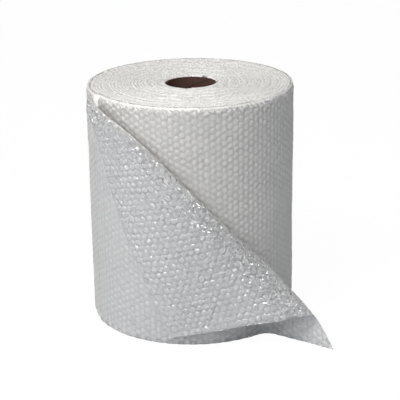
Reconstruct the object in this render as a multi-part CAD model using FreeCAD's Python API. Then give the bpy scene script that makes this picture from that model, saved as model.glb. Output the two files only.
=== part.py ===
"""Bubble wrap roll standing on its end, its loose end folded over once.

Millimetres, +Z up. The origin is on the roll's axis, on the surface it stands on.
Angles are measured from the front (-Y) towards the right (+X). Places on the loose
end are given as the distance round the front of the roll, then straight on along its
tangent, with a height or with a depth behind that tangent.
Two pieces: the cardboard core tube, and the bubble sheet, whose wound turns and
folded loose end are one solid.
"""
import FreeCAD, Part
import math
import os

Vector = FreeCAD.Vector

# Core tube
core_bore = 76.2
core_wall = 2.4
core_recess = 3.0
core_clearance = 0.3

# Bubble sheet
sheet_width = 375.0
sheet_thickness = 4.5
ply_gap = 0.65
turns = 24
edge_groove_depth = 1.6

# Loose end: where it leaves the round of the roll, in degrees round from the front, and
# how far it runs back beside the end of the turn that it belongs to
tangent_angle = -5.8
end_overlap = 7.7

# Loose end: crown of the fold, as distance and height, from the roll's top to the tip
crown = [(-176.0, 369.0), (-122.0, 354.0), (-68.0, 328.0), (-20.0, 287.0),
         (28.0, 236.0), (70.0, 189.0), (104.0, 152.0), (130.0, 125.0),
         (155.0, 98.0), (177.0, 75.0), (197.0, 53.0)]

# Loose end: shoulder in front of the crown, where the fold starts to turn over
shoulder = [(-170.0, 345.0), (-116.0, 329.0), (-64.0, 303.0), (-18.0, 265.0),
            (33.0, 199.0), (76.0, 137.0), (106.0, 96.0), (127.0, 75.0),
            (141.0, 64.0), (153.0, 57.0), (163.0, 53.0)]

# Loose end: side edge of the part folded down in front, from the fold to its corner
side_edge = [(-168.0, 337.0), (-118.0, 222.0), (-67.0, 115.0), (-18.0, 14.0)]

# Loose end: cut edge of that part, from the corner back to the fold
cut_edge = [(-18.0, 14.0), (33.0, 25.0), (77.0, 35.0), (106.0, 41.0),
            (126.0, 43.0), (138.0, 44.0), (147.0, 45.0), (154.0, 46.0)]

# Loose end: foot of the sheet where it leaves the roll, as distance and depth
foot_leaves_at = 112.0
peeled_foot = [(121.5, 54.0), (131.5, 54.3), (142.0, 50.2), (158.0, 41.5),
               (175.0, 33.0), (192.0, 24.0), (210.0, 13.0), (229.5, 2.5)]

# Loose end: depth behind the crown where the sheet comes up to it, over that foot
peeled_depth = [50.0, 45.0, 38.0, 30.0]

fold_depth = 16.0
fold_drop = 26.0
fold_clearance = 0.6
cut_edge_standoff = 9.0
floor_clearance = 0.5

# Loose end: flat facets between two rows, up the back, round the fold, and down in front
facets_per_row = 3
back_facets = 3
fold_facets = 8
front_facets = 8

# Loose end: how far its bubbles stand out in front, where the facets' corners show them,
# and the most that may be of a facet's own length
bubble_relief = 2.2
relief_share = 0.2

# Worked out from the sizes above
winding_pitch = sheet_thickness + ply_gap
core_outer_radius = core_bore / 2 + core_wall
wrap_bore_radius = core_outer_radius + core_clearance
front_radius = wrap_bore_radius + turns * winding_pitch
left_centre = Vector(0, -winding_pitch / 4, 0)
right_centre = Vector(0, winding_pitch / 4, 0)
left_radius = front_radius - winding_pitch / 4
right_radius = front_radius - 3 * winding_pitch / 4
left_slot_radius = left_radius - winding_pitch / 2
right_slot_radius = right_radius + winding_pitch / 2
fold_radius = left_radius + winding_pitch / 2
turn_end_angle = tangent_angle + math.degrees((crown[0][0] + end_overlap) / fold_radius)
corner_row = len(side_edge) - 1
last_row = len(crown) - 1
first_peeled_row = last_row - len(peeled_depth)


def around(centre, radius, angle, height=0.0):
    """Point at an angle round from the front of a vertical axis."""
    turn = math.radians(angle)
    return centre + Vector(radius * math.sin(turn), -radius * math.cos(turn), height)


def turn_profile(outer_radius, count, centre, angle):
    """Half section through wound turns: each turn's film edge is a crest."""
    bottom = 0.0
    valley = sheet_width - edge_groove_depth
    inner = wrap_bore_radius - winding_pitch
    points = [(inner, bottom), (outer_radius, bottom)]
    for index in range(count):
        crest = outer_radius - index * winding_pitch
        points.append((crest, sheet_width))
        points.append((crest - winding_pitch / 2, valley))
    points.append((inner, valley))
    points.append(points[0])
    corners = [around(centre, radius, angle, height) for radius, height in points]
    return Part.Face(Part.makePolygon(corners))


def wound_sector(outer_radius, count, centre, start, end):
    """Turns between two angles, all about one centre."""
    section = turn_profile(outer_radius, count, centre, start)
    return section.revolve(centre, Vector(0, 0, 1), end - start)


def wound_turns():
    """The spiral: half turns about two centres, a quarter pitch either side."""
    count = turns - 1
    rear_left = wound_sector(left_radius, count, left_centre, -180.0, turn_end_angle)
    front_left = wound_sector(left_radius - winding_pitch, count - 1, left_centre,
                              turn_end_angle, 0.0)
    right = wound_sector(right_radius, count, right_centre, 0.0, 180.0)
    bore = Part.makeCylinder(wrap_bore_radius, 2 * sheet_width, Vector(0, 0, -sheet_width / 2))
    return rear_left.fuse([front_left, right]).cut(bore)


def front_place(along, height, depth):
    """Place on the loose end: round the roll, then straight on from the tangent."""
    angle = tangent_angle + math.degrees(min(along, 0.0) / fold_radius)
    turn = math.radians(angle)
    onward = Vector(math.cos(turn), math.sin(turn), 0)
    base = around(left_centre, fold_radius - depth, angle, height)
    return base + onward * max(along, 0.0)


def slot_place(along):
    """Where the outermost turn lies on the roll, straight behind a place on the fold."""
    if along <= 0:
        angle = tangent_angle + math.degrees(along / fold_radius)
    else:
        angle = tangent_angle + math.degrees(math.asin(along / right_slot_radius))
    if angle < 0:
        return around(left_centre, left_slot_radius, angle)
    return around(right_centre, right_slot_radius, angle)


def depth_of(place, along):
    """Depth of a place behind the loose end's front."""
    front = front_place(along, 0.0, 0.0)
    return math.hypot(place.x - front.x, place.y - front.y)


def smooth_curve(points):
    """Cubic curve through points, evenly paced from one to the next."""
    curve = Part.BSplineCurve()
    curve.interpolate(Points=[Vector(*point) for point in points],
                      Parameters=[float(index) for index in range(len(points))])
    return curve


def foot_curve():
    """Foot of the sheet off the roll in plan, paced from where it leaves."""
    points = []
    for spare in (14.0, 7.0, 0.0):
        along = foot_leaves_at - spare
        points.append((along, depth_of(slot_place(along), along)))
    return smooth_curve([(along, depth, 0.0) for along, depth in points + peeled_foot])


def foot_place(row, along):
    """Where the sheet stands on the floor at one row."""
    if row <= first_peeled_row:
        leaving = foot_leaves_at / crown[first_peeled_row][0]
        return slot_place(along * leaving if along > 0 else along)
    share = (row - first_peeled_row) / len(peeled_depth)
    plan = foot_line.value(2 + share * len(peeled_foot))
    return front_place(plan.x, 0.0, plan.y)


def back_depth_at(row, along):
    """Depth behind the crown where the sheet comes up to it at one row."""
    if row <= first_peeled_row:
        return depth_of(slot_place(along), along)
    return depth_line.value(1 + row - first_peeled_row).x


def sheet_line(row):
    """Middle of the sheet at one row: up its back, over the fold and down in front."""
    ridge_plan = crown_line.value(row)
    along, height = ridge_plan.x, ridge_plan.y
    foot = foot_place(row, along)
    back_depth = back_depth_at(row, along)
    behind = front_place(along, height, back_depth)
    spare = fold_depth - back_depth
    lift = (spare + math.sqrt(spare * spare + winding_pitch * winding_pitch)) / 2
    crown_depth = (back_depth - lift) / 2
    top = front_place(along, height, crown_depth)
    start = behind + (foot - behind) * min(fold_drop / height, 0.5)
    front_plan = shoulder_line.value(row)
    front = front_place(front_plan.x, front_plan.y, -lift)
    front_inward = front_place(front_plan.x, front_plan.y, crown_depth) - front
    back_forward = Vector(top.x - behind.x, top.y - behind.y, 0)
    line = [foot + (start - foot) * (step / back_facets) for step in range(back_facets)]
    for step in range(fold_facets + 1):
        turn = math.pi * step / fold_facets
        if step <= fold_facets / 2:
            rise = top - start - back_forward
            line.append(start + rise * math.sin(turn) + back_forward * (1 - math.cos(turn)))
        else:
            rise = top - front - front_inward
            line.append(front + rise * math.sin(turn) + front_inward * (1 + math.cos(turn)))
    if row <= corner_row:
        edge_plan = side_line.value(row)
    else:
        edge_plan = cut_line.value(row - corner_row)
    standoff = cut_edge_standoff * math.sin(math.pi * row / last_row) ** 2 + fold_clearance
    edge = front_place(edge_plan.x, edge_plan.y, -standoff)
    for step in range(1, front_facets + 1):
        line.append(front + (edge - front) * (step / front_facets))
    return line


def stands_out(row, step, line):
    """Whether a corner of the bubbled face is a bubble's top: every other one in front."""
    in_front = back_facets + fold_facets - 1 <= step < len(line) - 1
    return in_front and 0 < row < last_row * facets_per_row and (row + step) % 2 == 0


def sheet_skins():
    """Points of both faces of the sheet, half its thickness either side of its middle."""
    rows = [sheet_line(row / facets_per_row) for row in range(last_row * facets_per_row + 1)]
    skins = ([], [])
    for row, line in enumerate(rows):
        before = rows[max(row - 1, 0)]
        after = rows[min(row + 1, len(rows) - 1)]
        for skin, half in zip(skins, (sheet_thickness / 2, -sheet_thickness / 2)):
            points = []
            for step, point in enumerate(line):
                onward = after[step] - before[step]
                upward = line[min(step + 1, len(line) - 1)] - line[max(step - 1, 0)]
                rise = half
                if half < 0 and stands_out(row, step, line):
                    facet = (line[step + 1] - point).Length
                    rise = half - min(bubble_relief, relief_share * facet)
                points.append(point + onward.cross(upward).normalize() * rise)
            rise = points[1] - points[0]
            points[0] = points[0] + rise * ((floor_clearance - points[0].z) / rise.z)
            skin.append(points)
    return skins


def loose_end():
    """The folded end of the sheet as one closed solid of its real thickness."""
    outer, inner = sheet_skins()
    rows = len(outer)
    steps = len(outer[0])
    points = []
    for skin in (outer, inner):
        for line in skin:
            points.extend(line)

    def place(side, row, step):
        return (side * rows + row) * steps + step

    quads = []
    for row in range(rows - 1):
        for step in range(steps - 1):
            quads.append((place(0, row, step), place(0, row + 1, step),
                          place(0, row + 1, step + 1), place(0, row, step + 1)))
            quads.append((place(1, row, step), place(1, row, step + 1),
                          place(1, row + 1, step + 1), place(1, row + 1, step)))
        for step, (near, far) in ((0, (1, 0)), (steps - 1, (0, 1))):
            quads.append((place(near, row, step), place(near, row + 1, step),
                          place(far, row + 1, step), place(far, row, step)))
    for step in range(steps - 1):
        for row, (near, far) in ((0, (0, 1)), (rows - 1, (1, 0))):
            quads.append((place(near, row, step), place(near, row, step + 1),
                          place(far, row, step + 1), place(far, row, step)))
    facets = []
    for first, second, third, fourth in quads:
        facets.append((first, second, third))
        facets.append((first, third, fourth))
    shape = Part.Shape()
    shape.makeShapeFromMesh((points, facets), 0.001)
    solid = Part.makeSolid(Part.makeShell(shape.Faces))
    if solid.Volume < 0:
        solid.reverse()
    return solid


crown_line = smooth_curve([(along, height, 0.0) for along, height in crown])
shoulder_line = smooth_curve([(along, height, 0.0) for along, height in shoulder])
side_line = smooth_curve([(along, height, 0.0) for along, height in side_edge])
cut_line = smooth_curve([(along, height, 0.0) for along, height in cut_edge])
foot_line = foot_curve()
depth_line = smooth_curve([(depth_of(slot_place(along), along), 0.0, 0.0)
                           for along, height in crown[first_peeled_row - 1:first_peeled_row + 1]]
                          + [(depth, 0.0, 0.0) for depth in peeled_depth])


def core_tube():
    """Cardboard tube that the sheet is wound on, a little short of the roll's top."""
    length = sheet_width - core_recess
    outside = Part.makeCylinder(core_outer_radius, length)
    return outside.cut(Part.makeCylinder(core_bore / 2, length))


def bubble_wrap():
    """The wound turns and the folded loose end: one length of sheet."""
    return wound_turns().fuse(loose_end())


os.makedirs("parts", exist_ok=True)
pieces = {"core_tube": core_tube(), "bubble_wrap": bubble_wrap()}
for name, shape in pieces.items():
    print(name, shape.isValid(), len(shape.Solids), round(shape.Volume), shape.BoundBox)
    shape.exportStep("parts/" + name + ".step")
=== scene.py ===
"""Bubble wrap roll: the visible film, its bubbles and the cardboard core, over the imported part."""

import logging
import math
from dataclasses import dataclass, field
from enum import Enum
from typing import Any, Callable

import bpy
import numpy as np
from mathutils import Matrix, Vector, noise
from mathutils.bvhtree import BVHTree


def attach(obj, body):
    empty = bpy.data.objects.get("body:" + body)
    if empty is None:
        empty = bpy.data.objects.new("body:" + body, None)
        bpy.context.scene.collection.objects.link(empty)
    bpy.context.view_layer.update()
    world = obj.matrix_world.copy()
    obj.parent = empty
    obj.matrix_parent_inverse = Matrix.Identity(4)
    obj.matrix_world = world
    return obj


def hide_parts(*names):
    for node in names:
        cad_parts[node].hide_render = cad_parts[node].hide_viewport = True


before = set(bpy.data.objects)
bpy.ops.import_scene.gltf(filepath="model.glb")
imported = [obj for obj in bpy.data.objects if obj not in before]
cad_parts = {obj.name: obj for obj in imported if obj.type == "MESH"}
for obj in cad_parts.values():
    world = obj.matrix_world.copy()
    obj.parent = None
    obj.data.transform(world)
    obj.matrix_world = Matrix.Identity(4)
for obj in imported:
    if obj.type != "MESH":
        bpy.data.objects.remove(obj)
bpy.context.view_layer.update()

logging.basicConfig(level=logging.INFO, format="%(message)s")
log = logging.getLogger("bubble_wrap_roll")

MM = 0.001
WHITE = (1.0, 1.0, 1.0, 1.0)
# painted_highlight marks a painted highlight where the film turns over an edge, at the fold's crown
# and the roll's top rim.
LOOKS = ("bubble", "tone", "painted_highlight", "spark")
Plan = tuple[float, float]
Color = tuple[float, float, float]
Swell = Callable[[int, np.ndarray], np.ndarray]


@dataclass(frozen=True)
class RollSizes:
    """Sizes of the roll in millimetres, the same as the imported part's.

    Angles are degrees round from the front (-Y) towards the right (+X).
    """

    sheet_width: float = 375.0
    sheet_thickness: float = 4.5
    winding_pitch: float = 5.15
    turns: int = 24
    bore_radius: float = 40.8
    turn_end_angle: float = -64.0
    tangent_angle: float = -5.8

    @property
    def front_radius(self) -> float:
        """Radius of the roll at its front, over the loose end."""
        return self.bore_radius + self.turns * self.winding_pitch

    @property
    def left_radius(self) -> float:
        """Radius of the outermost turn on the left."""
        return self.front_radius - self.winding_pitch / 4

    @property
    def right_radius(self) -> float:
        """Radius of the outermost turn on the right."""
        return self.front_radius - 3 * self.winding_pitch / 4

    @property
    def fold_radius(self) -> float:
        """Radius of the middle of the folded part, over the roll."""
        return self.left_radius + self.winding_pitch / 2


@dataclass(frozen=True)
class BubbleSizes:
    """Sizes of the bubbles in millimetres."""

    pitch: float = 10.4
    radius: float = 4.7
    height: float = 2.0
    film: float = 0.5
    sag: float = 1.0

    @property
    def row_spacing(self) -> float:
        """Distance between neighbouring columns of touching bubbles."""
        return self.pitch * math.sqrt(3) / 2


class SmoothLine:
    """Natural cubic line through points, evenly paced from one to the next."""

    def __init__(self, points: list[tuple[float, ...]]) -> None:
        """Fit the line.

        Args:
            points: The points that it passes through.
        """
        self.points = np.array(points, float)
        count = len(points)
        system = np.eye(count)
        pull = np.zeros_like(self.points)
        for index in range(1, count - 1):
            system[index, index - 1: index + 2] = (1, 4, 1)
            pull[index] = 6 * (self.points[index + 1] - 2 * self.points[index]
                               + self.points[index - 1])
        self.bends = np.linalg.solve(system, pull)

    def at(self, pace: float) -> np.ndarray:
        """Point of the line.

        Args:
            pace: Number of the point, whole or between two.

        Returns:
            The point there.
        """
        index = int(min(max(pace, 0), len(self.points) - 2))
        ahead = pace - index
        behind = 1 - ahead
        first, second = self.bends[index], self.bends[index + 1]
        return ((first * behind ** 3 + second * ahead ** 3) / 6
                + (self.points[index] - first / 6) * behind
                + (self.points[index + 1] - second / 6) * ahead)


@dataclass
class LooseEnd:
    """Middle of the loose end's sheet: up behind, over the fold, down in front."""

    sizes: RollSizes
    crown: list[Plan] = field(default_factory=lambda: [
        (-176, 369), (-122, 354), (-68, 328), (-20, 287), (28, 236), (70, 189),
        (104, 152), (130, 125), (155, 98), (177, 75), (197, 53)])
    shoulder: list[Plan] = field(default_factory=lambda: [
        (-170, 345), (-116, 329), (-64, 303), (-18, 265), (33, 199), (76, 137),
        (106, 96), (127, 75), (141, 64), (153, 57), (163, 53)])
    side_edge: list[Plan] = field(default_factory=lambda: [
        (-168, 337), (-118, 222), (-67, 115), (-18, 14)])
    cut_edge: list[Plan] = field(default_factory=lambda: [
        (-18, 14), (33, 25), (77, 35), (106, 41), (126, 43), (138, 44), (147, 45), (154, 46)])
    foot_leaves_at: float = 112.0
    peeled_foot: list[Plan] = field(default_factory=lambda: [
        (121.5, 54), (131.5, 54.3), (142, 50.2), (158, 41.5), (175, 33), (192, 24),
        (210, 13), (229.5, 2.5)])
    peeled_depth: list[float] = field(default_factory=lambda: [50, 45, 38, 30])
    fold_depth: float = 16.0
    fold_drop: float = 26.0
    fold_clearance: float = 0.6
    cut_edge_standoff: float = 9.0
    rows_per_span: int = 10
    back_steps: int = 10
    fold_steps: int = 20
    front_steps: int = 10

    def __post_init__(self) -> None:
        """Fit the lines that the sheet follows."""
        self.corner_row = len(self.side_edge) - 1
        self.last_row = len(self.crown) - 1
        self.first_peeled = self.last_row - len(self.peeled_depth)
        self.crown_line = SmoothLine(self.crown)
        self.shoulder_line = SmoothLine(self.shoulder)
        self.side_line = SmoothLine(self.side_edge)
        self.cut_line = SmoothLine(self.cut_edge)
        hugging = [self.foot_leaves_at - spare for spare in (14.0, 7.0, 0.0)]
        feet = [(along, self.slot_depth(along)) for along in hugging]
        self.foot_line = SmoothLine(feet + self.peeled_foot)
        near = [(self.slot_depth(self.crown[row][0]),)
                for row in (self.first_peeled - 1, self.first_peeled)]
        self.depth_line = SmoothLine(near + [(depth,) for depth in self.peeled_depth])

    def front_place(self, along: float, height: float, depth: float) -> np.ndarray:
        """Place on the loose end: round the roll, then straight on from the tangent.

        Args:
            along: Distance round the front, then along the tangent.
            height: Height over the floor.
            depth: Depth behind the front.

        Returns:
            The place in millimetres.
        """
        sizes = self.sizes
        turn = math.radians(sizes.tangent_angle) + min(along, 0.0) / sizes.fold_radius
        radius = sizes.fold_radius - depth
        past = max(along, 0.0)
        return np.array([radius * math.sin(turn) + past * math.cos(turn),
                         -radius * math.cos(turn) + past * math.sin(turn)
                         - sizes.winding_pitch / 4, height])

    def slot_place(self, along: float) -> np.ndarray:
        """Where the outermost turn lies on the roll, straight behind a place.

        Args:
            along: Distance round the front, then along the tangent.

        Returns:
            The place in millimetres, at the floor.
        """
        sizes = self.sizes
        turn = math.radians(sizes.tangent_angle)
        slot_right = sizes.right_radius + sizes.winding_pitch / 2
        turn += along / sizes.fold_radius if along <= 0 else math.asin(along / slot_right)
        if turn < 0:
            radius, centre = sizes.left_radius - sizes.winding_pitch / 2, -sizes.winding_pitch / 4
        else:
            radius, centre = slot_right, sizes.winding_pitch / 4
        return np.array([radius * math.sin(turn), centre - radius * math.cos(turn), 0.0])

    def slot_depth(self, along: float) -> float:
        """Depth of the outermost turn on the roll behind the loose end's front."""
        return math.dist(self.slot_place(along)[:2], self.front_place(along, 0.0, 0.0)[:2])

    def line(self, row: float) -> tuple[np.ndarray, np.ndarray, np.ndarray]:
        """Middle of the sheet at one row.

        Args:
            row: Number of the row, whole or between two.

        Returns:
            The points, the same points in the folded part's flat plan, and the direction
            of the crown in that plan.
        """
        along, height = self.crown_line.at(row)
        if row <= self.first_peeled:
            leaving = self.foot_leaves_at / self.crown[self.first_peeled][0]
            foot = self.slot_place(along * leaving if along > 0 else along)
            back_depth = self.slot_depth(along)
        else:
            peeled = row - self.first_peeled
            foot_plan = self.foot_line.at(2 + peeled * len(self.peeled_foot)
                                          / len(self.peeled_depth))
            foot = self.front_place(foot_plan[0], 0.0, foot_plan[1])
            back_depth = float(self.depth_line.at(1 + peeled)[0])
        behind = self.front_place(along, height, back_depth)
        spare = self.fold_depth - back_depth
        lift = (spare + math.hypot(spare, self.sizes.winding_pitch)) / 2
        crown_depth = (back_depth - lift) / 2
        top = self.front_place(along, height, crown_depth)
        start = behind + (foot - behind) * min(self.fold_drop / height, 0.5)
        front_plan = self.shoulder_line.at(row)
        front = self.front_place(*front_plan, -lift)
        inward = self.front_place(*front_plan, crown_depth) - front
        forward = (top - behind) * (1, 1, 0)
        points = [foot + (start - foot) * (step / self.back_steps)
                  for step in range(self.back_steps)]
        for step in range(self.fold_steps + 1):
            turn = math.pi * step / self.fold_steps
            if step <= self.fold_steps / 2:
                rise = top - start - forward
                points.append(start + rise * math.sin(turn) + forward * (1 - math.cos(turn)))
            else:
                rise = top - front - inward
                points.append(front + rise * math.sin(turn) + inward * (1 + math.cos(turn)))
        if row <= self.corner_row:
            edge_plan = self.side_line.at(row)
        else:
            edge_plan = self.cut_line.at(row - self.corner_row)
        standoff = (self.cut_edge_standoff * math.sin(math.pi * row / self.last_row) ** 2
                    + self.fold_clearance)
        edge = self.front_place(*edge_plan, -standoff)
        plans = [front_plan]
        for step in range(1, self.front_steps + 1):
            share = step / self.front_steps
            points.append(front + (edge - front) * share)
            plans.append(front_plan + (edge_plan - front_plan) * share)
        crown_run = self.crown_line.at(min(row + 0.2, self.last_row)) \
            - self.crown_line.at(max(row - 0.2, 0))
        return np.array(points), np.array(plans), crown_run / np.linalg.norm(crown_run)

    def grid(self) -> tuple[np.ndarray, np.ndarray, np.ndarray]:
        """The whole sheet as a grid.

        Returns:
            The points, the directions to the smooth side, and the flat plan of each point.
            The plan of the part behind is the main sheet's own, up to the fold.
        """
        count = self.last_row * self.rows_per_span + 1
        lines = [self.line(row / self.rows_per_span) for row in range(count)]
        points = np.array([line[0] for line in lines])
        onward = np.gradient(points, axis=0)
        upward = np.gradient(points, axis=1)
        outward = np.cross(onward, upward)
        outward /= np.linalg.norm(outward, axis=2, keepdims=True)
        plan = np.zeros(points.shape[:2] + (2,))
        fold_end = self.back_steps + self.fold_steps
        for row, (line, front_plans, run) in enumerate(lines):
            plan[row, fold_end:] = front_plans
            across = np.array([-run[1], run[0]])
            base = self.front_place(front_plans[0][0], 0, 0)
            onto = self.front_place(front_plans[0][0] + 0.5, 0, 0) - base
            onto /= np.linalg.norm(onto)
            inward = np.array([-onto[1], onto[0], 0])
            for step in range(fold_end - 1, self.back_steps - 1, -1):
                move = line[step] - line[step + 1]
                flat = np.array([move @ onto, move[2]])
                plan[row, step] = (plan[row, step + 1] + run * (flat @ run)
                                   + across * math.hypot(flat @ across, move @ inward))
        return points, outward, plan

    def back_plan(self, points: np.ndarray) -> np.ndarray:
        """Flat plan of the main sheet behind the fold, measured from its left end.

        Args:
            points: The whole sheet's grid.

        Returns:
            The flat plan of each point, of use up to the fold.
        """
        feet = points[:, 0]
        steps = np.linalg.norm(np.diff(feet, axis=0), axis=1)
        along = np.concatenate([[0.0], np.cumsum(steps)])
        plan = np.zeros(points.shape[:2] + (2,))
        foot_x = feet[:, 0]
        for step in range(self.back_steps + 1):
            plan[:, step, 0] = along + (points[:, step, 0] - foot_x)
            plan[:, step, 1] = points[:, step, 2]
        return plan


class Lay:
    """Lays flat film on a curved sheet."""

    def __init__(self, plan: np.ndarray, points: np.ndarray, outward: np.ndarray) -> None:
        """Prepare the lay.

        Args:
            plan: Flat plan of the sheet's grid.
            points: The grid's places.
            outward: The grid's directions to the smooth side.
        """
        self.plan = plan.reshape(-1, 2)
        self.points = points.reshape(-1, 3)
        self.outward = outward.reshape(-1, 3)
        rows, steps = plan.shape[:2]
        self.steps = steps
        self.corners: list[tuple[int, int, int]] = []
        for row in range(rows - 1):
            for step in range(steps - 1):
                first = row * steps + step
                second, third, fourth = first + steps, first + steps + 1, first + 1
                self.corners += [(first, second, third), (first, third, fourth)]
        flat = [Vector((x, y, 0.0)) for x, y in self.plan]
        self.tree = BVHTree.FromPolygons(flat, self.corners)

    def nearest(self, spot: np.ndarray) -> tuple[float, tuple[int, int, int], np.ndarray]:
        """Nearest spot of the sheet.

        Args:
            spot: A spot of the flat film.

        Returns:
            How far off the sheet it is, the grid's corners round it and their shares.
        """
        found, _, index, gap = self.tree.find_nearest(Vector((spot[0], spot[1], 0.0)))
        corners = self.corners[index]
        first, second, third = (self.plan[corner] for corner in corners)
        frame_of = np.array([second - first, third - first]).T
        offset = np.array([found[0], found[1]]) - first
        size = frame_of[0, 0] * frame_of[1, 1] - frame_of[0, 1] * frame_of[1, 0]
        if abs(size) < 1e-9:
            shares = np.array([1.0, 0.0, 0.0])
        else:
            second_share = (offset[0] * frame_of[1, 1] - offset[1] * frame_of[0, 1]) / size
            third_share = (frame_of[0, 0] * offset[1] - frame_of[1, 0] * offset[0]) / size
            shares = np.array([1 - second_share - third_share, second_share, third_share])
        return gap, corners, shares

    def __call__(self, spots: np.ndarray, heights: np.ndarray) -> np.ndarray:
        """Places of film spots.

        Args:
            spots: Spots of the flat film. Those off the sheet go to its border.
            heights: Height of each over the sheet's middle, to its smooth side.

        Returns:
            The places in millimetres.
        """
        places = np.zeros((len(spots), 3))
        for index, spot in enumerate(spots):
            _, corners, shares = self.nearest(spot)
            corners = list(corners)
            facing = shares @ self.outward[corners]
            facing /= np.linalg.norm(facing)
            places[index] = shares @ self.points[corners] + facing * heights[index]
        return places


@dataclass
class BubbleCell:
    """One bubble with the film round it out to its neighbours, as flat-plan corners."""

    rings: list[Plan]
    bubbles: BubbleSizes
    rim_rise: float = 0.0

    def __post_init__(self) -> None:
        """Model the cell and keep its corners, faces and rim."""
        half = self.bubbles.pitch / 2
        rings = self.rings + [(half, self.rim_rise)]
        inner_radius, inner_height = rings[0]
        fill = "TRIFAN" if self.rings else "NGON"
        bpy.ops.object.select_all(action="DESELECT")
        bpy.ops.mesh.primitive_circle_add(vertices=12, radius=inner_radius, fill_type=fill,
                                          location=(0, 0, inner_height))
        bpy.ops.object.transform_apply(location=True, rotation=False, scale=False)
        cell = bpy.context.object
        bpy.ops.object.mode_set(mode="EDIT")
        bpy.ops.mesh.select_mode(type="EDGE")
        bpy.ops.mesh.select_all(action="SELECT")
        bpy.ops.mesh.region_to_loop()
        radius, height = inner_radius, inner_height
        for next_radius, next_height in rings[1:]:
            bpy.ops.mesh.extrude_edges_move(
                TRANSFORM_OT_translate={"value": (0, 0, next_height - height)})
            grow = next_radius / radius
            bpy.ops.transform.resize(value=(grow, grow, 1), center_override=(0, 0, next_height))
            radius, height = next_radius, next_height
        bpy.ops.object.mode_set(mode="OBJECT")
        mesh = cell.data
        self.corners = np.array([vertex.co[:] for vertex in mesh.vertices])
        self.faces = [tuple(face.vertices) for face in mesh.polygons]
        if mesh.polygons[0].normal.z < 0:
            self.faces = [face[::-1] for face in self.faces]
        bpy.data.objects.remove(cell, do_unlink=True)
        reach = np.hypot(self.corners[:, 0], self.corners[:, 1])
        self.rim = reach > half - 0.01
        turn = np.degrees(np.arctan2(self.corners[:, 1], self.corners[:, 0])) % 60
        at_corner = self.rim & (np.abs(turn - 30) < 15)
        self.corners[at_corner, :2] *= 2 / math.sqrt(3)
        self.inside = np.clip(1 - reach / half, 0, 1)


@dataclass
class FilmSkin:
    """One face of a stretch of film, laid flat."""

    spots: np.ndarray
    heights: np.ndarray
    faces: list[tuple[int, ...]]
    looks: dict[str, np.ndarray]

    @staticmethod
    def of_cells(cell: BubbleCell, centres: np.ndarray, lean: float,
                 swell: Swell, tones: np.ndarray) -> "FilmSkin":
        """Repeat a cell over a lattice and join the copies at their rims.

        Args:
            cell: The cell to repeat.
            centres: Where the copies go in the flat plan.
            lean: Angle of the columns of touching bubbles from the plan's first axis.
            swell: Gives the heights of one copy's corners.
            tones: Shade of each copy, 0 to 1.

        Returns:
            The joined skin.
        """
        cosine, sine = math.cos(lean), math.sin(lean)
        turned = cell.corners[:, :2] @ np.array([[cosine, sine], [-sine, cosine]])
        spots = (centres[:, None, :] + turned[None, :, :]).reshape(-1, 2)
        heights = np.concatenate([swell(index, cell.corners) for index in range(len(centres))])
        count = len(cell.corners)
        keys = np.round(spots * 20).astype(int)
        rim = np.tile(cell.rim, len(centres))
        keys[~rim, 0] += 10_000_000 + np.arange(len(spots))[~rim] * 7
        _, first, joined = np.unique(keys, axis=0, return_index=True, return_inverse=True)
        joined = joined.reshape(-1)
        faces = [tuple(int(joined[index * count + corner]) for corner in face)
                 for index in range(len(centres)) for face in cell.faces]
        looks = {"bubble": np.tile(cell.inside, len(centres))[first],
                 "tone": np.repeat(tones, count)[first]}
        return FilmSkin(spots[first], heights[first], faces, looks)

    def rim_edges(self) -> list[tuple[int, int]]:
        """Edges with a face on one side only, in that face's direction.

        Returns:
            The first and the last corner of each.
        """
        used: dict[tuple[int, int], tuple[int, int]] = {}
        for face in self.faces:
            for start, end in zip(face, face[1:] + face[:1]):
                key = (min(start, end), max(start, end))
                if key in used:
                    del used[key]
                else:
                    used[key] = (start, end)
        return list(used.values())


def film_object(name: str, places: np.ndarray, faces: list[tuple[int, ...]],
                looks: dict[str, np.ndarray]) -> bpy.types.Object:
    """Make a smooth-shaded object of film.

    Args:
        name: Name of the object.
        places: Its corners in millimetres.
        faces: Its faces, by their corners' numbers.
        looks: What the film pattern reads at each corner, by name.

    Returns:
        The object.
    """
    mesh = bpy.data.meshes.new(name)
    mesh.from_pydata((places * MM).tolist(), [], faces)
    for label, values in looks.items():
        attribute = mesh.attributes.new(label, "FLOAT", "POINT")
        attribute.data.foreach_set("value", values.astype(np.float32))
    mesh.polygons.foreach_set("use_smooth", [True] * len(mesh.polygons))
    piece = bpy.data.objects.new(name, mesh)
    bpy.context.collection.objects.link(piece)
    return piece


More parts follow.
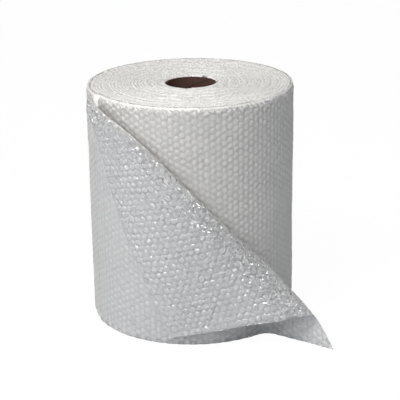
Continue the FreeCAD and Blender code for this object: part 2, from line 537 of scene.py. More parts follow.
@dataclass
class FilmPiece:
    """A piece of film with two skins, closed at its rim."""

    name: str
    upper: FilmSkin
    lower: FilmSkin

    def build(self, lay: Callable[[np.ndarray, np.ndarray], np.ndarray]) -> bpy.types.Object:
        """Lay both skins in place and join them.

        Args:
            lay: Gives the places of film spots at their heights.

        Returns:
            The finished piece.
        """
        upper, lower = self.upper, self.lower
        shift = len(upper.spots)
        below = {}
        for index, spot in enumerate(np.round(lower.spots * 20).astype(int)):
            below[tuple(spot)] = index + shift
        upper_keys = np.round(upper.spots * 20).astype(int)
        faces = list(upper.faces)
        faces += [tuple(corner + shift for corner in face[::-1]) for face in lower.faces]
        missing = 0
        for start, end in upper.rim_edges():
            pair = [self._below(below, upper_keys[corner]) for corner in (start, end)]
            if None in pair:
                missing += 1
                continue
            faces.append((end, start, pair[0], pair[1]))
        if missing:
            log.info("%s: %d rim edges left open", self.name, missing)
        places = lay(np.concatenate([upper.spots, lower.spots]),
                     np.concatenate([upper.heights, lower.heights]))
        looks = {label: np.concatenate([skin.looks.get(label, np.zeros(len(skin.spots)))
                                        for skin in (upper, lower)])
                 for label in LOOKS}
        piece = film_object(self.name, places, faces, looks)
        piece.data.validate()
        return piece

    @staticmethod
    def _below(below: dict[tuple[int, int], int], key: np.ndarray) -> int | None:
        """Corner of the lower skin under one of the upper, allowing for rounding.

        Args:
            below: The lower skin's corners by their rounded spots.
            key: The upper corner's rounded spot.

        Returns:
            The corner's number, or None where there is none.
        """
        for across in (0, 1, -1):
            for along in (0, 1, -1):
                found = below.get((int(key[0]) + across, int(key[1]) + along))
                if found is not None:
                    return found
        return None


@dataclass
class FilmRipple:
    """Slow unevenness of wound film, in millimetres."""

    broad: float = 0.8
    fine: float = 0.35
    broad_length: float = 46.0
    fine_length: float = 15.0

    def at(self, spots: np.ndarray) -> np.ndarray:
        """Rise of the film at flat spots.

        Args:
            spots: The spots.

        Returns:
            The rise of each in millimetres.
        """
        rise = np.zeros(len(spots))
        for index, (across, along) in enumerate(spots):
            broad = Vector((across / self.broad_length, along / self.broad_length, 3.7))
            fine = Vector((across / self.fine_length, along / self.fine_length, 9.1))
            rise[index] = self.broad * noise.noise(broad) + self.fine * noise.noise(fine)
        return rise


def level(height: float) -> Swell:
    """Heights of film that lies level, for any copy of a cell."""
    return lambda index, corners: np.full(len(corners), height)


def lattice(low: np.ndarray, high: np.ndarray, lean: float, bubbles: BubbleSizes) -> np.ndarray:
    """Centres of touching bubbles over a box of the flat plan.

    Args:
        low: Lowest corner of the box.
        high: Highest corner of the box.
        lean: Angle of the columns of touching bubbles from the plan's first axis.
        bubbles: Sizes of the bubbles.

    Returns:
        The centres, column by column.
    """
    middle = (low + high) / 2
    reach = float(np.linalg.norm(high - low)) / 2 + bubbles.pitch
    columns = int(reach / bubbles.row_spacing) + 1
    places = int(reach / bubbles.pitch) + 1
    run = np.array([math.cos(lean), math.sin(lean)])
    across = np.array([-run[1], run[0]])
    centres = []
    for column in range(-columns, columns + 1):
        for place in range(-places, places + 1):
            step = place + (0.5 if column % 2 else 0.0)
            centre = middle + across * column * bubbles.row_spacing + run * step * bubbles.pitch
            if np.all(centre > low - bubbles.pitch) and np.all(centre < high + bubbles.pitch):
                centres.append(centre)
    return np.array(centres)


@dataclass
class FoldedEnd:
    """The loose end: the sheet behind, and the part folded over it with bubbles outward."""

    sizes: RollSizes
    bubbles: BubbleSizes
    ripple: FilmRipple
    fold_lean: float = 14.0
    crease_steps: float = 7.0
    crease_flattening: float = 0.7
    # Painted highlight along the fold's crown: how strong it is, and over how many steps it fades.
    crown_highlight: float = 0.55
    highlight_steps: float = 5.0
    spark_steps: float = 13.0
    cut_fill: tuple[float, float] = (0.08, 0.3)
    usual_fill: tuple[float, float] = (0.78, 1.0)
    slack_fill: tuple[float, float] = (0.35, 0.6)
    slack_share: float = 0.05
    back_sag: float = 0.7
    tilt: float = 0.07
    ripple_share: float = 0.8
    seed: int = 11

    def __post_init__(self) -> None:
        """Work out the sheet and the cells that it is made of."""
        self.shape = LooseEnd(self.sizes)
        self.points, self.outward, self.fold_plan = self.shape.grid()
        self.back_plan = self.shape.back_plan(self.points)
        self.chance = np.random.default_rng(self.seed)
        self.dome = BubbleCell([(3.05, 1.0), (4.1, 0.82), (4.75, 0.52)], self.bubbles, 0.42)
        self.disc = BubbleCell([(4.0, 1.0)], self.bubbles)
        self.plain = BubbleCell([(4.8, 0.0)], self.bubbles)

    def cells_on(self, lay: Lay, lean: float) -> tuple[np.ndarray, np.ndarray]:
        """Lattice cells that reach the sheet.

        Args:
            lay: The sheet.
            lean: Angle of the columns of touching bubbles from the plan's first axis.

        Returns:
            The centres of the cells, and which of them the sheet's border cuts.
        """
        low, high = lay.plan.min(axis=0), lay.plan.max(axis=0)
        kept, cut = [], []
        for centre in lattice(low, high, lean, self.bubbles):
            if lay.nearest(centre)[0] > self.bubbles.pitch / 2:
                continue
            gaps = []
            for sixth in range(6):
                turn = math.radians(60 * sixth)
                spot = centre + self.bubbles.radius * np.array([math.cos(turn), math.sin(turn)])
                gaps.append(lay.nearest(spot)[0])
            kept.append(centre)
            cut.append(max(gaps) > 0.4)
        return np.array(kept), np.array(cut)

    def creased(self, lay: Lay, centres: np.ndarray) -> np.ndarray:
        """How flat the fold presses each bubble, from 0 in front of it to 1 at its crown.

        Args:
            lay: The sheet.
            centres: The bubbles' centres.

        Returns:
            The share for each bubble.
        """
        return np.clip((self.shape.fold_steps - self.steps_at(lay, centres))
                       / self.crease_steps, 0, 1)

    @staticmethod
    def steps_at(lay: Lay, spots: np.ndarray) -> np.ndarray:
        """How many steps of the sheet's line each spot is from its start.

        Args:
            lay: The sheet.
            spots: Spots of the flat film.

        Returns:
            The steps to each spot.
        """
        found = np.zeros(len(spots))
        for index, spot in enumerate(spots):
            _, corners, weights = lay.nearest(spot)
            found[index] = weights @ [corner % lay.steps for corner in corners]
        return found

    def dome_heights(self, cut: np.ndarray, creased: np.ndarray) -> Swell:
        """Heights of bubbles over the sheet's middle, each a little unlike the next.

        Args:
            cut: Which cells the sheet's border cuts, so that they hold no air.
            creased: How flat the fold presses each bubble.

        Returns:
            The heights of one copy's corners, by its number.
        """
        base = self.sizes.sheet_thickness / 2 - self.bubbles.film
        count = len(cut)
        fill = np.where(cut, self.chance.uniform(*self.cut_fill, count),
                        self.chance.uniform(*self.usual_fill, count))
        slack = self.chance.uniform(0, 1, count) < self.slack_share
        fill = np.where(slack & ~cut, self.chance.uniform(*self.slack_fill, count), fill)
        fill *= 1 - self.crease_flattening * creased
        tilts = self.chance.normal(0, self.tilt, (count, 2))

        def heights(index: int, corners: np.ndarray) -> np.ndarray:
            """Heights of one copy's corners."""
            rise = corners[:, 2] * fill[index]
            tilt = (corners[:, :2] @ tilts[index]) * corners[:, 2] * fill[index]
            return base - rise * self.bubbles.height + tilt

        return heights

    def build_front(self) -> bpy.types.Object:
        """The part folded over, down in front of the roll.

        Returns:
            The finished piece.
        """
        first = self.shape.back_steps
        lay = Lay(self.fold_plan[:, first:], self.points[:, first:], self.outward[:, first:])
        lean = math.radians(self.fold_lean)
        centres, cut = self.cells_on(lay, lean)
        tones = self.chance.uniform(0, 1, len(centres))
        heights = self.dome_heights(cut, self.creased(lay, centres))
        upper = FilmSkin.of_cells(self.dome, centres, lean, heights, tones)
        lower = FilmSkin.of_cells(self.plain, centres, lean,
                                  level(self.sizes.sheet_thickness / 2), tones)
        # Painted highlight along the crown, where the rolled-over film catches the light; the
        # sparkles start just past it.
        from_crown = self.steps_at(lay, upper.spots) - self.shape.fold_steps / 2
        near = np.clip(1 - np.abs(from_crown) / self.highlight_steps, 0, 1)
        fading = np.minimum(from_crown / 2.0, (self.spark_steps - from_crown) / self.highlight_steps)
        upper.looks["painted_highlight"] = self.crown_highlight * near
        upper.looks["spark"] = np.clip(fading, 0, 1)
        return self.finish("folded_part", upper, lower, lay)

    def build_back(self) -> bpy.types.Object:
        """The sheet behind it, from the roll out to the tip on the floor.

        Returns:
            The finished piece.
        """
        last = self.shape.back_steps + 1
        lay = Lay(self.back_plan[:, :last], self.points[:, :last], self.outward[:, :last])
        lean = math.radians(90)
        centres, cut = self.cells_on(lay, lean)
        tones = self.chance.uniform(0, 1, len(centres))
        film_height = self.sizes.sheet_thickness / 2
        upper = FilmSkin.of_cells(
            self.disc, centres, lean,
            lambda index, corners: film_height + (corners[:, 2] - 1) * self.back_sag,
            tones)
        heights = self.dome_heights(cut, np.zeros(len(cut)))
        lower = FilmSkin.of_cells(self.dome, centres, lean, heights, tones)
        return self.finish("sheet_behind", upper, lower, lay)

    def finish(self, name: str, upper: FilmSkin, lower: FilmSkin, lay: Lay) -> bpy.types.Object:
        """Join two skins into a piece with the film's ripple.

        Args:
            name: Name of the piece.
            upper: The skin on the smooth side.
            lower: The skin on the other side.
            lay: The sheet.

        Returns:
            The finished piece.
        """
        def rippled(spots: np.ndarray, heights: np.ndarray) -> np.ndarray:
            """Places of spots with the ripple added."""
            return lay(spots, heights + self.ripple.at(spots) * self.ripple_share)

        return FilmPiece(name, upper, lower).build(rippled)


@dataclass
class OuterTurn:
    """The roll's outermost turn: smooth film outward, its bubbles showing through."""

    sizes: RollSizes
    bubbles: BubbleSizes
    ripple: FilmRipple
    rim_height: float = 8.0
    rim_inset: float = 4.2
    end_length: float = 14.0
    end_inset: float = 4.6
    # Painted highlight down from the top rim, and how far from the turn's end it fades in.
    rim_highlight_height: float = 16.0
    end_fade: float = 50.0
    wave_length: float = 17.0
    wave_drop: tuple[float, float] = (0.5, 1.3)
    tilt: float = 0.03
    skin_height: float = -0.2
    inner_height: float = -2.2
    seed: int = 5

    def arcs(self) -> list[tuple[float, float, float, float]]:
        """Arcs that the turn runs along, leftwards from its end.

        Returns:
            Each arc's first angle, its sweep, its radius and its centre's place along Y.
        """
        sizes = self.sizes
        offset = sizes.winding_pitch / 4
        return [(sizes.turn_end_angle, 180 + sizes.turn_end_angle, sizes.left_radius, -offset),
                (180.0, 180.0, sizes.right_radius, offset),
                (0.0, -sizes.turn_end_angle, sizes.left_radius - sizes.winding_pitch, -offset)]

    def place(self, spots: np.ndarray, heights: np.ndarray) -> np.ndarray:
        """Places of film spots round the roll.

        Args:
            spots: Distance from the turn's end, negative leftwards, and height.
            heights: Height of each over the turn's outer face.

        Returns:
            The places in millimetres.
        """
        width = self.sizes.sheet_width
        arcs = self.arcs()
        lengths = [math.radians(sweep) * radius for _, sweep, radius, _ in arcs]
        distance = np.clip(-spots[:, 0], 0.0, sum(lengths))
        height = np.clip(spots[:, 1], 0.0, width)
        rise = heights + self.ripple.at(spots)
        rise -= self.end_inset * np.clip(1 - distance / self.end_length, 0, 1) ** 2
        to_rim = np.clip(1 - np.minimum(width - height, height) / self.rim_height, 0, 1)
        rise -= self.rim_inset * to_rim ** 2
        wave = np.array([noise.noise(Vector((along / self.wave_length, 0.3, level / 300.0)))
                         for along, level in spots])
        least, more = self.wave_drop
        drop = to_rim * (least + more * np.abs(wave))
        height = np.where(height > width / 2, height - drop, height + drop * 0.3)
        places = np.zeros((len(spots), 3))
        before = 0.0
        for (first, sweep, radius, centre), length in zip(arcs, lengths):
            here = (distance >= before) & (distance <= before + length + 1e-6)
            turn = np.radians(first) - (distance[here] - before) / radius
            reach = radius + rise[here]
            places[here] = np.stack([reach * np.sin(turn), centre - reach * np.cos(turn),
                                     height[here]], axis=1)
            before += length
        return places

    def build(self) -> bpy.types.Object:
        """The turn as one closed piece.

        Returns:
            The finished piece.
        """
        chance = np.random.default_rng(self.seed)
        length = sum(math.radians(sweep) * radius for _, sweep, radius, _ in self.arcs())
        low, high = np.array([-length, 0.0]), np.array([0.0, self.sizes.sheet_width])
        lean = math.radians(90)
        centres = lattice(low, high, lean, self.bubbles)
        inside = np.all((centres > low - self.bubbles.pitch / 2)
                        & (centres < high + self.bubbles.pitch / 2), axis=1)
        centres = centres[inside]
        count = len(centres)
        tones = chance.uniform(0, 1, count)
        tilts = chance.normal(0, self.tilt, (count, 2))
        sags = self.bubbles.sag * chance.uniform(0.75, 1.25, count)

        def dished(index: int, corners: np.ndarray) -> np.ndarray:
            """Heights of one bubble's corners over the turn's outer face."""
            return ((corners[:, 2] - 1) * sags[index]
                    + (corners[:, :2] @ tilts[index]) * corners[:, 2] + self.skin_height)

        disc = BubbleCell([(3.9, 1.0)], self.bubbles)
        plain = BubbleCell([], self.bubbles)
        upper = FilmSkin.of_cells(disc, centres, lean, dished, tones)
        between = upper.looks["bubble"] < 0.01
        upper.heights = np.where(between, self.skin_height - self.bubbles.sag, upper.heights)
        # Painted highlight along the top rim, where the film turns over the edge; it fades out near
        # the turn's end.
        from_top = (self.sizes.sheet_width - upper.spots[:, 1]) / self.rim_highlight_height
        from_end = np.clip(-upper.spots[:, 0] / self.end_fade, 0, 1)
        upper.looks["painted_highlight"] = np.clip(1 - from_top, 0, 1) ** 1.5 * from_end
        upper.looks["spark"] = np.clip(1.3 - from_top, 0, 1)
        lower = FilmSkin.of_cells(plain, centres, lean, level(self.inner_height), tones)
        return FilmPiece("outer_turn", upper, lower).build(self.place)


@dataclass
class WoundTurns:
    """The turns within: one spiral body with the film's edges standing at both ends."""

    sizes: RollSizes
    steps_per_turn: int = 180
    rises: tuple[float, ...] = (1.0, 0.45, 0.0, 0.45)
    edge_depth: float = 0.9
    outer_drop: float = 1.3
    edge_inset: float = 0.9
    sway: float = 0.9
    wander_length: float = 21.0
    ragged_length: float = 7.0
    skin_gap: float = 1.8
    edge_tone: float = 0.5
    edge_spark: float = 0.3
    seed: int = 3

    def outer_at(self, degrees: float) -> tuple[float, float]:
        """Radius of the outermost turn at an angle, and its centre's place along Y.

        Args:
            degrees: Degrees round from the front.

        Returns:
            The radius and the centre.
        """
        sizes = self.sizes
        offset = sizes.winding_pitch / 4
        if 0 < degrees <= 180:
            return sizes.right_radius, offset
        if degrees <= sizes.turn_end_angle + 1e-6:
            return sizes.left_radius, -offset
        return sizes.left_radius - sizes.winding_pitch, -offset

    def ends(self) -> tuple[np.ndarray, np.ndarray, np.ndarray]:
        """Corners of the top and the bottom, along the spiral.

        Returns:
            The top's corners, the bottom's, and how much each is a film edge.
        """
        sizes = self.sizes
        chance = np.random.default_rng(self.seed)
        offsets = chance.uniform(0, 1.1, sizes.turns + 4)
        across = len(self.rises)
        first, last = -self.steps_per_turn, (sizes.turns + 1) * self.steps_per_turn
        top, bottom, edges = [], [], []
        for step in range(first, last + 1):
            turn = step // self.steps_per_turn
            degrees = sizes.turn_end_angle - 360.0 * (step % self.steps_per_turn) \
                / self.steps_per_turn
            degrees = degrees + 360 if degrees < -180 else degrees
            outer, centre = self.outer_at(degrees)
            angle = math.radians(degrees)
            for sample, rise in enumerate(self.rises):
                radius = (outer - sizes.winding_pitch * (turn + sample / across)
                          - self.edge_inset)
                held = min(max(radius, sizes.bore_radius), outer - self.skin_gap)
                share = rise if held == radius else 0.2
                along = step * 2 * math.pi / self.steps_per_turn * radius
                wander = noise.noise(Vector((along / self.wander_length, turn * 3.1, 0.5)))
                ragged = noise.noise(Vector((along / self.ragged_length,
                                             turn * 5.3 + sample, 4.5)))
                sideways = self.sway * wander * (1 if held == radius else 0)
                drop = (1 - share) * self.edge_depth + 0.7 * abs(wander) + 0.5 * abs(ragged)
                drop += offsets[turn + 2] * 0.8
                if outer - radius < 6.0:
                    drop = min(drop, 1.1 + 0.3 * abs(ragged))
                if held != radius:
                    past_bore = 0.0 < held - radius <= 20.0
                    drop = self.edge_depth if past_bore else self.outer_drop
                held = max(held + sideways, sizes.bore_radius)
                spot = (held * math.sin(angle), centre - held * math.cos(angle))
                top.append((*spot, sizes.sheet_width - drop))
                bottom.append((*spot, min(drop * 0.5, 1.6) * (1 - share * 0.9)))
                edges.append(share)
        return np.array(top), np.array(bottom), np.array(edges)

    def build(self) -> bpy.types.Object:
        """The spiral body.

        Returns:
            The finished piece.
        """
        top, bottom, edges = self.ends()
        across = len(self.rises)
        count = len(top)
        steps = count // across
        faces = []

        def corner(step: int, sample: int) -> int:
            """Number of a corner, the next turn's first after a turn's last sample."""
            if sample == across:
                step, sample = step + self.steps_per_turn, 0
            return step * across + sample

        for step in range(steps - 1):
            for sample in range(across):
                if sample == across - 1 and step + self.steps_per_turn + 1 >= steps:
                    continue
                quad = (corner(step, sample), corner(step, sample + 1),
                        corner(step + 1, sample + 1), corner(step + 1, sample))
                faces.append(quad)
                faces.append(tuple(index + count for index in quad[::-1]))
        for step in range(self.steps_per_turn):
            first, second = corner(step, 0), corner(step + 1, 0)
            faces.append((first, second, second + count, first + count))
            inner = steps - 1 - self.steps_per_turn + step
            first, second = corner(inner, across - 1), corner(inner + 1, across - 1)
            faces.append((second, first, first + count, second + count))
        looks = {"bubble": np.concatenate([edges, edges]),
                 "tone": np.full(2 * count, self.edge_tone),
                 "painted_highlight": np.zeros(2 * count),
                 "spark": np.full(2 * count, self.edge_spark)}
        body = film_object("wound_turns", np.concatenate([top, bottom]), faces, looks)
        select_only(body)
        bpy.ops.object.mode_set(mode="EDIT")
        bpy.ops.mesh.select_all(action="SELECT")
        bpy.ops.mesh.remove_doubles(threshold=0.02 * MM)
        bpy.ops.object.mode_set(mode="OBJECT")
        return body


def select_only(piece: bpy.types.Object) -> None:
    """Select one object and make it active."""
    bpy.ops.object.select_all(action="DESELECT")
    piece.select_set(True)
    bpy.context.view_layer.objects.active = piece


class NodeBench:
    """Places shader nodes in a tree and joins them."""

    def __init__(self, tree: bpy.types.NodeTree) -> None:
        """Start on a tree."""
        self.tree = tree

    def feed(self, node: bpy.types.Node, inputs: dict[str | int, Any]) -> bpy.types.Node:
        """Give a node's inputs their values, or join them to sockets.

        Args:
            node: The node.
            inputs: What each input gets, by its name or number.

        Returns:
            The node.
        """
        for label, value in inputs.items():
            if isinstance(value, bpy.types.NodeSocket):
                self.tree.links.new(value, node.inputs[label])
            else:
                node.inputs[label].default_value = value
        return node

    def add(self, kind: str, inputs: dict[str | int, Any] | None = None,
            **settings: Any) -> bpy.types.Node:
        """Add a node.

        Args:
            kind: The node's type.
            inputs: What each input gets, by its name or number.
            settings: The node's own settings.

        Returns:
            The node.
        """
        node = self.tree.nodes.new(kind)
        for label, value in settings.items():
            setattr(node, label, value)
        return self.feed(node, inputs or {})

    def math(self, operation: str, *values: Any, **settings: Any) -> bpy.types.NodeSocket:
        """Output of a Math node over values and sockets."""
        inputs = dict(enumerate(values))
        return self.add("ShaderNodeMath", inputs, operation=operation, **settings).outputs[0]

    def vector(self, operation: str, inputs: dict[str | int, Any]) -> bpy.types.NodeSocket:
        """Output of a Vector Math node."""
        return self.add("ShaderNodeVectorMath", inputs, operation=operation).outputs[0]

    def mix(self, share: Any, first: Any, second: Any, **settings: Any) -> bpy.types.NodeSocket:
        """Output of a colour Mix node."""
        node = self.add("ShaderNodeMix", {}, data_type="RGBA", **settings)
        return self.feed(node, {"Factor": share, "A": first, "B": second}).outputs["Result"]

    def glow_where_seen(self, plain: bpy.types.NodeSocket, glow: bpy.types.NodeSocket,
                        share: float, output: str) -> None:
        """Show a glow to the camera, and a plain shader to all other light.

        Args:
            plain: The plain shader.
            glow: The glow.
            share: How much of what the camera sees is glow.
            output: Name of the output node.
        """
        rays = self.add("ShaderNodeLightPath").outputs
        seen = self.math("MAXIMUM", rays["Is Camera Ray"], rays["Is Transmission Ray"])
        amount = self.math("MULTIPLY", seen, share)
        both = self.add("ShaderNodeMixShader", {0: amount, 1: plain, 2: glow})
        self.feed(self.tree.nodes[output], {"Surface": both.outputs["Shader"]})


@dataclass(frozen=True)
class FilmPattern:
    """What all the film shares: tone by bubble, clouds, a painted highlight, fine wrinkles and
    glints.
    """

    bubble_full_at: float = 0.6
    bubble_shares: tuple[float, float] = (0.15, 0.75)
    tone_share: float = 0.3
    cloud_share: float = 0.5
    cloud_scale: float = 26.0
    wrinkle_scale: float = 420.0
    wrinkle_gloss: float = 0.2
    facet_scale: float = 480.0
    spark_glint: float = 1.0

    def group(self) -> bpy.types.NodeTree:
        """Make the node group.

        Returns:
            The node group.
        """
        group = bpy.data.node_groups.new("film_pattern", "ShaderNodeTree")
        for way, kind, labels in (("INPUT", "NodeSocketColor", ("Light", "Shade", "Pale")),
                                  ("INPUT", "NodeSocketFloat", ("Gloss", "Glint")),
                                  ("OUTPUT", "NodeSocketColor", ("Color",)),
                                  ("OUTPUT", "NodeSocketFloat", ("Roughness", "Height")),
                                  ("OUTPUT", "NodeSocketVector", ("Facets",))):
            for label in labels:
                group.interface.new_socket(name=label, in_out=way, socket_type=kind)
        bench = NodeBench(group)
        given = bench.add("NodeGroupInput").outputs
        bubble, tone, painted_highlight, spark = (
            bench.add("ShaderNodeAttribute", attribute_name=label).outputs["Fac"]
            for label in LOOKS)
        place = bench.add("ShaderNodeTexCoord").outputs["Object"]
        cloud = bench.add("ShaderNodeTexNoise", {
            "Vector": place, "Scale": self.cloud_scale, "Detail": 3.0}).outputs["Fac"]
        wrinkle = bench.add("ShaderNodeTexNoise", {
            "Vector": place, "Scale": self.wrinkle_scale, "Detail": 4.0}).outputs["Fac"]
        facet = bench.add("ShaderNodeTexVoronoi", {
            "Vector": place, "Scale": self.facet_scale}).outputs["Color"]
        glint = bench.math("MULTIPLY_ADD", spark, self.spark_glint, given["Glint"])
        centred = bench.vector("SUBTRACT", {0: facet, 1: (0.5, 0.5, 0.5)})
        tilted = bench.vector("SCALE", {0: centred, "Scale": glint})
        surface = bench.add("ShaderNodeNewGeometry").outputs["Normal"]
        turned = bench.vector("ADD", {0: surface, 1: tilted})
        low, high = self.bubble_shares
        share = bench.add("ShaderNodeMapRange", {
            "Value": bubble, "From Max": self.bubble_full_at, "To Min": low,
            "To Max": high}).outputs["Result"]
        drift = bench.math("MULTIPLY_ADD", tone, self.tone_share, share)
        lowered = bench.math("SUBTRACT", cloud, 0.5)
        clouded = bench.math("MULTIPLY_ADD", lowered, self.cloud_share, drift, use_clamp=True)
        film = bench.mix(clouded, given["Shade"], given["Light"])
        # The colour takes the painted highlight colour where the painted_highlight attribute is set.
        bench.add("NodeGroupOutput", {
            "Color": bench.mix(painted_highlight, film, given["Pale"]),
            "Roughness": bench.math("MULTIPLY_ADD", wrinkle, self.wrinkle_gloss, given["Gloss"]),
            "Height": wrinkle,
            "Facets": bench.vector("NORMALIZE", {0: turned})})
        return group


@dataclass(frozen=True)
class FilmFinish:
    """Milky clear film: light over the air, greyer where the film is drawn in."""

    name: str
    light: Color
    shade: Color
    gloss: float = 0.28
    wrinkle: float = 0.3
    glint: float = 0.2
    milk: float = 0.0
    milk_depth: float = 0.006
    # Colour of the painted highlight where the film turns over an edge.
    painted_highlight: Color = (0.80, 0.79, 0.77)
    ior: float = 1.8
    specular: float = 0.8

    def material(self, pattern: bpy.types.NodeTree) -> bpy.types.Material:
        """Make the material.

        Args:
            pattern: The film pattern's node group.

        Returns:
            The material.
        """
        material = bpy.data.materials.new(self.name)
        material.use_nodes = True
        bench = NodeBench(material.node_tree)
        film = bench.add("ShaderNodeGroup", {}, node_tree=pattern)
        bench.feed(film, {"Light": (*self.light, 1), "Shade": (*self.shade, 1),
                          "Pale": (*self.painted_highlight, 1), "Gloss": self.gloss, "Glint": self.glint})
        bump = bench.add("ShaderNodeBump", {
            "Strength": self.wrinkle, "Distance": MM, "Height": film.outputs["Height"],
            "Normal": film.outputs["Facets"]})
        bench.feed(bench.tree.nodes["Principled BSDF"], {
            "Base Color": film.outputs["Color"], "Roughness": film.outputs["Roughness"],
            "IOR": self.ior, "Specular IOR Level": self.specular,
            "Subsurface Weight": self.milk, "Subsurface Radius": (1.0, 1.0, 1.0),
            "Subsurface Scale": self.milk_depth, "Normal": bump.outputs["Normal"]})
        return material


class Film(Enum):
    """The finish of each part of the film."""

    BUBBLES = FilmFinish("film_bubbles", (0.56, 0.562, 0.572), (0.52, 0.525, 0.54),
                         gloss=0.04, glint=0.6, milk=0.8)
    SMOOTH = FilmFinish("film_smooth", (0.605, 0.60, 0.585), (0.505, 0.505, 0.50), milk=0.7)
    SINGLE = FilmFinish("film_single", (0.603, 0.605, 0.615), (0.53, 0.532, 0.543), milk=0.9)
    ENDS = FilmFinish("film_ends", (0.90, 0.895, 0.88), (0.85, 0.845, 0.83),
                      gloss=0.25, wrinkle=0.4, glint=0.3)


@dataclass(frozen=True)
class KraftFinish:
    """Brown kraft board wound in a spiral: fibres and darker ply seams."""

    name: str = "kraft_core"
    light: Color = (0.115, 0.055, 0.040)
    dark: Color = (0.040, 0.018, 0.015)
    roughness: float = 0.85
    seam_pitch: float = 0.095
    seam_width: float = 0.03
    seam_shade: float = 0.35
    fibre_scale: float = 650.0
    fibre_stretch: float = 0.25
    fibre_height: float = 0.0004

    def material(self) -> bpy.types.Material:
        """Make the material.

        Returns:
            The material.
        """
        material = bpy.data.materials.new(self.name)
        material.use_nodes = True
        bench = NodeBench(material.node_tree)
        place = bench.add("ShaderNodeTexCoord").outputs["Object"]
        parts = bench.add("ShaderNodeSeparateXYZ", {"Vector": place}).outputs
        angle = bench.math("ARCTAN2", parts["Y"], parts["X"])
        turns = bench.math("DIVIDE", angle, 2 * math.pi)
        climb = bench.math("MULTIPLY_ADD", parts["Z"], 1 / self.seam_pitch, turns)
        seam = bench.add("ShaderNodeValToRGB", {"Fac": bench.math("FRACT", climb)})
        edge, board = seam.color_ramp.elements
        edge.color = (*(self.seam_shade,) * 3, 1)
        board.position = self.seam_width
        stretched = bench.add("ShaderNodeMapping", {
            "Vector": place, "Scale": (1.0, 1.0, self.fibre_stretch)}).outputs["Vector"]
        fibre = bench.add("ShaderNodeTexNoise", {
            "Vector": stretched, "Scale": self.fibre_scale, "Detail": 5.0}).outputs["Fac"]
        plain = bench.mix(fibre, (*self.dark, 1), (*self.light, 1))
        bump = bench.add("ShaderNodeBump", {
            "Strength": 0.35, "Distance": self.fibre_height, "Height": fibre})
        bench.feed(bench.tree.nodes["Principled BSDF"], {
            "Roughness": self.roughness, "Normal": bump.outputs["Normal"],
            "Base Color": bench.mix(1.0, plain, seam.outputs["Color"], blend_type="MULTIPLY")})
        return material


@dataclass(frozen=True)
class Lamp:
    """A rectangular lamp that faces the roll."""

    name: str
    place: tuple[float, float, float]
    size: tuple[float, float]
    power: float
    along: tuple[float, float, float] = (1.0, 0.0, 0.0)
    color: Color = (1.0, 1.0, 1.0)

    def build(self, target: tuple[float, float, float]) -> None:
        """Set the lamp up, aimed at a target.

        Args:
            target: The place that it faces.
        """
        lamp = bpy.data.lights.new(self.name, "AREA")
        lamp.energy = self.power
        lamp.color = self.color
        lamp.shape = "RECTANGLE"
        lamp.size, lamp.size_y = self.size
        stand = bpy.data.objects.new(self.name, lamp)
        away = (Vector(self.place) - Vector(target)).normalized()
        upward = away.cross(Vector(self.along)).normalized()
        turned = Matrix((upward.cross(away), upward, away)).transposed().to_4x4()
        turned.translation = Vector(self.place)
        stand.matrix_world = turned
        bpy.context.collection.objects.link(stand)


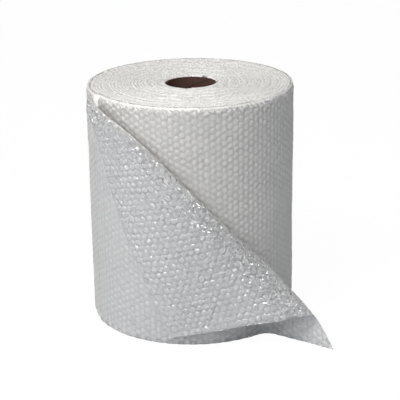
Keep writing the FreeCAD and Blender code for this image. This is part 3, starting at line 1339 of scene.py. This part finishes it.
@dataclass
class Studio:
    """Pale floor, plain light and the camera."""

    camera_place: tuple[float, float, float] = (0.0, -2.0413, 0.8911)
    looks_at: tuple[float, float, float] = (0.0, 0.0, 0.1875)
    lens: float = 120.98
    roll_degrees: float = -0.82
    shift: Plan = (0.0190, -0.01377)
    fill: float = 0.33
    fill_lean: float = -0.11
    warm_fill: Color = (1.0, 0.985, 0.95)
    cool_fill: Color = (0.965, 0.975, 1.0)
    floor_size: float = 30.0
    floor_color: Color = (0.68, 0.70, 0.73)
    floor_glow: float = 1.03
    floor_glow_share: float = 0.94
    lamps: tuple[Lamp, ...] = (
        Lamp("key", (-0.85, -1.25, 2.2), (0.7, 0.7), 36.0, color=(1.0, 0.98, 0.95)),
        Lamp("right_glint", (1.54, -1.23, 1.17), (1.2, 0.25), 6.0, along=(0.38, 0.81, 0.44)),
        Lamp("left_glint", (-2.0, -0.85, 0.85), (0.35, 0.35), 4.0),
        Lamp("side_glint", (-2.0, 0.30, 0.50), (0.3, 0.3), 1.8),
        Lamp("ridge_glint", (-0.95, -1.62, 1.05), (0.8, 0.2), 6.0))

    def build(self) -> None:
        """Set the stage."""
        self.floor()
        self.world()
        for lamp in self.lamps:
            lamp.build(self.looks_at)
        self.camera()
        bpy.context.scene.view_settings.view_transform = "Standard"

    def floor(self) -> None:
        """A white floor that keeps a soft shadow."""
        bpy.ops.object.select_all(action="DESELECT")
        bpy.ops.mesh.primitive_plane_add(size=self.floor_size, location=(0, 0, 0))
        plane = bpy.context.object
        plane.name = "floor"
        material = bpy.data.materials.new("floor_white")
        material.use_nodes = True
        bench = NodeBench(material.node_tree)
        shader = bench.feed(bench.tree.nodes["Principled BSDF"], {
            "Base Color": (*self.floor_color, 1), "Roughness": 0.9})
        glow = bench.add("ShaderNodeEmission", {"Color": WHITE, "Strength": self.floor_glow})
        bench.glow_where_seen(shader.outputs["BSDF"], glow.outputs["Emission"],
                              self.floor_glow_share, "Material Output")
        plane.data.materials.append(material)

    def world(self) -> None:
        """White to the camera, and plain fill light otherwise, stronger from the left."""
        world = bpy.data.worlds.new("studio")
        bpy.context.scene.world = world
        world.use_nodes = True
        bench = NodeBench(world.node_tree)
        way = bench.add("ShaderNodeTexCoord").outputs["Generated"]
        side = bench.add("ShaderNodeSeparateXYZ", {"Vector": way}).outputs["X"]
        turned = bench.add("ShaderNodeMapRange", {"Value": side, "From Min": -1.0})
        fill = bench.feed(bench.tree.nodes["Background"], {
            "Strength": bench.math("MULTIPLY_ADD", side, self.fill_lean, self.fill),
            "Color": bench.mix(turned.outputs["Result"], (*self.warm_fill, 1),
                               (*self.cool_fill, 1))})
        white = bench.add("ShaderNodeBackground", {"Color": WHITE, "Strength": 1.0})
        bench.glow_where_seen(fill.outputs["Background"], white.outputs["Background"], 1.0,
                              "World Output")

    def camera(self) -> None:
        """The photograph's view."""
        lens = bpy.data.cameras.new("camera")
        lens.lens = self.lens
        lens.sensor_width = 36.0
        lens.shift_x, lens.shift_y = self.shift
        eye = bpy.data.objects.new("camera", lens)
        eye.location = self.camera_place
        aim = Vector(self.looks_at) - Vector(self.camera_place)
        facing = aim.to_track_quat("-Z", "Y").to_matrix().to_4x4()
        facing.translation = Vector(self.camera_place)
        turn = math.radians(self.roll_degrees)
        level = facing.copy()
        for row in range(3):
            across, up = facing[row][0], facing[row][1]
            level[row][0] = across * math.cos(turn) + up * math.sin(turn)
            level[row][1] = -across * math.sin(turn) + up * math.cos(turn)
        eye.matrix_world = level
        bpy.context.collection.objects.link(eye)
        bpy.context.scene.camera = eye


def dress(piece: bpy.types.Object, material: bpy.types.Material) -> None:
    """Give a film piece its finish and its place on the part.

    Args:
        piece: The piece.
        material: Its finish.
    """
    piece.data.materials.clear()
    piece.data.materials.append(material)
    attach(piece, "root")
    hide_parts("bubble_wrap")
    piece.data.calc_loop_triangles()
    log.info("%s: %d triangles", piece.name, len(piece.data.loop_triangles))


def main() -> None:
    """Build the roll."""
    sizes, bubbles, ripple = RollSizes(), BubbleSizes(), FilmRipple()
    pattern = FilmPattern().group()
    materials = {film: film.value.material(pattern) for film in Film}
    loose = FoldedEnd(sizes, bubbles, ripple)
    dress(WoundTurns(sizes).build(), materials[Film.ENDS])
    dress(OuterTurn(sizes, bubbles, ripple).build(), materials[Film.SMOOTH])
    dress(loose.build_back(), materials[Film.SINGLE])
    dress(loose.build_front(), materials[Film.BUBBLES])
    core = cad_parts["core_tube"]
    core.data.materials.clear()
    core.data.materials.append(KraftFinish().material())
    log.info("%s: kraft board finish", core.name)
    Studio().build()


if __name__ == "__main__":
    main()
